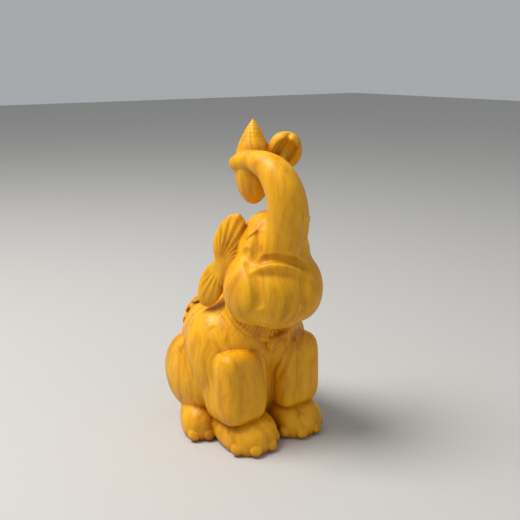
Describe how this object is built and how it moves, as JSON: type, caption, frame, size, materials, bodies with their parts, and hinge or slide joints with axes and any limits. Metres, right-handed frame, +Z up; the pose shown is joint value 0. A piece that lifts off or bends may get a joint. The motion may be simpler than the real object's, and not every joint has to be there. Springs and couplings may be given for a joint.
{
  "type": "carved wooden elephant figurine",
  "caption": "Seated elephant carved in boxwood, head thrown back, raised trunk curled round a lotus bud, with collar, medallion and saddle cloth.",
  "frame": {"origin": "on the ground plane under the middle of the body, where the flat underside rests", "axes": "+Z up, the elephant looks along -Y, its own left side is +X"},
  "size_m": [0.0396, 0.0476, 0.089],
  "materials": {
    "boxwood": "satin oiled boxwood"
  },
  "bodies": {
    "root": {"collar_band": "boxwood", "collar_cord": "boxwood", "ear_left": "boxwood", "ear_right": "boxwood", "eye_left": "boxwood", "eye_right": "boxwood", "front_foot_left": "boxwood", "front_foot_right": "boxwood", "front_leg_left": "boxwood", "front_leg_right": "boxwood", "front_toenails_left": "boxwood", "front_toenails_right": "boxwood", "head": "boxwood", "hind_foot_left": "boxwood", "hind_foot_right": "boxwood", "hind_leg_left": "boxwood", "hind_leg_right": "boxwood", "hind_toenails_left": "boxwood", "hind_toenails_right": "boxwood", "lotus_bud": "boxwood", "lotus_leaf": "boxwood", "pendant": "boxwood", "saddle_cloth": "boxwood", "saddle_fringe": "boxwood", "saddle_scrolls": "boxwood", "shoulder_left": "boxwood", "shoulder_right": "boxwood", "tail": "boxwood", "torso": "boxwood", "trunk": "boxwood"}
  },
  "joints": []
}
